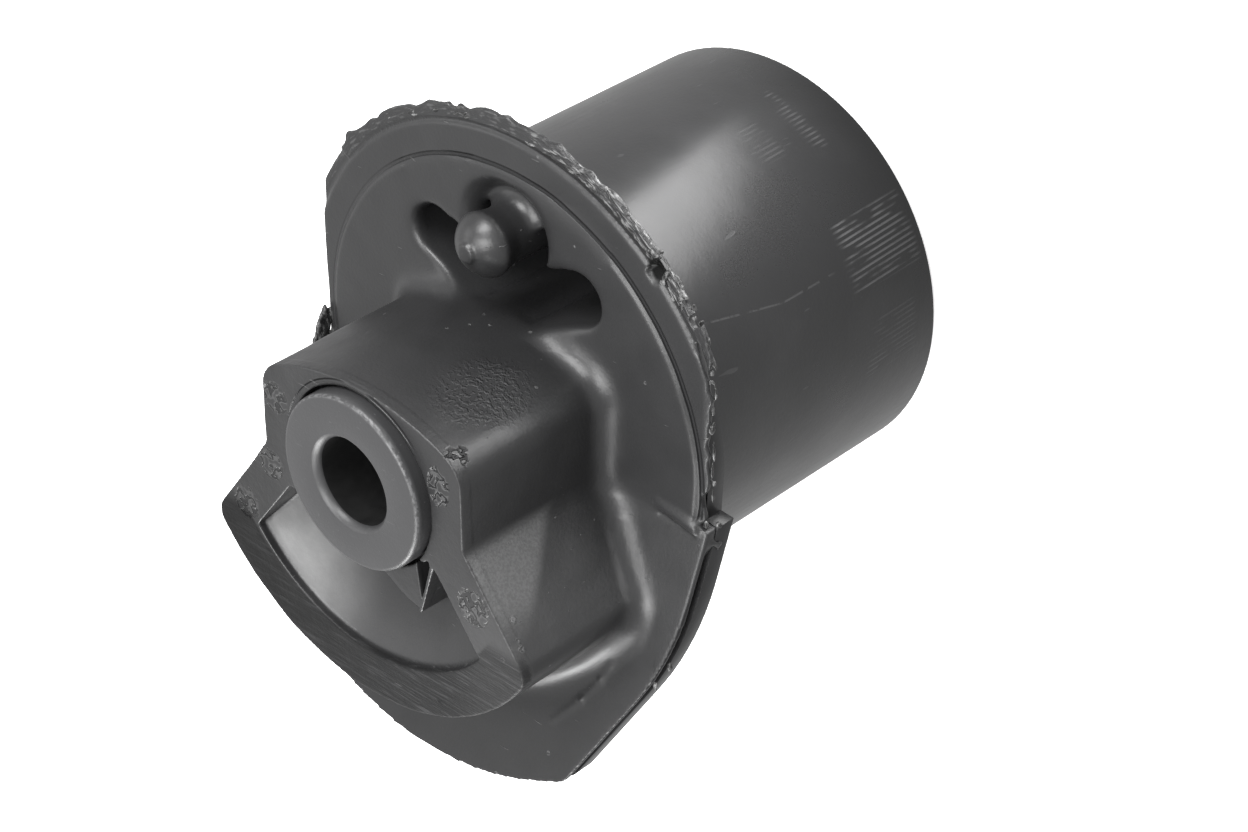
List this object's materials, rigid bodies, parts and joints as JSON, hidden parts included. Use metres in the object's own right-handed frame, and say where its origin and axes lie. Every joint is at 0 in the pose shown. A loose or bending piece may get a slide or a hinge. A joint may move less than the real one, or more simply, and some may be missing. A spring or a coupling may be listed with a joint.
{
  "type": "rubber metal bush",
  "caption": "Suspension bush: rubber moulding with a crowned nose, slot and folded ear on a steel sleeve, round a steel tube for the bolt.",
  "frame": {"origin": "on the bore's axis, in the plane of the sleeve's rear end", "axes": "+Z along the bore from the sleeve's rear end to the nose, +Y to the crowned top of the nose and the nipple, +X to the right seen from the nose"},
  "size_m": [0.072, 0.0893, 0.081],
  "materials": {
    "sleeve_steel": "satin",
    "rubber": "satin",
    "tube_steel": "satin"
  },
  "bodies": {
    "root": {"outer_sleeve": "sleeve_steel", "rubber_body": "rubber", "inner_tube": "tube_steel"}
  },
  "joints": []
}
